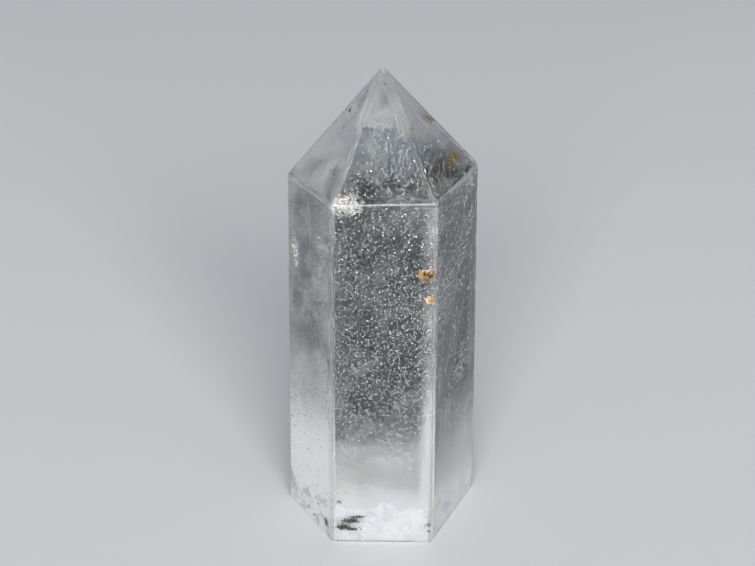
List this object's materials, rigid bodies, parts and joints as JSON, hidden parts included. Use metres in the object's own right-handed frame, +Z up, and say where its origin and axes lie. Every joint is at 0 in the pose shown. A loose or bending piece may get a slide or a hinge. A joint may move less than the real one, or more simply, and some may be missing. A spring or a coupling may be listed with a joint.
{
  "type": "quartz point",
  "caption": "Polished clear quartz point: a tapering hexagonal prism with a pyramid tip, standing on a flat ground base, with milky veils and iron-stained pits inside.",
  "frame": {"origin": "middle of the outline's box, on the plane of the ground base", "axes": "+Z up along the prism towards the tip; -Y is the front, the prism face beside the two iron-stained pits; +X is to the right seen from the front"},
  "size_m": [0.0336, 0.0292, 0.0834],
  "materials": {
    "clear_quartz": "polished, see-through, with a ground base",
    "milky_veil": "matte white healed fractures and fluid inclusions inside the quartz",
    "iron_stain": "matte ochre iron oxide film"
  },
  "bodies": {
    "root": {"quartz_point": "clear_quartz"}
  },
  "joints": []
}
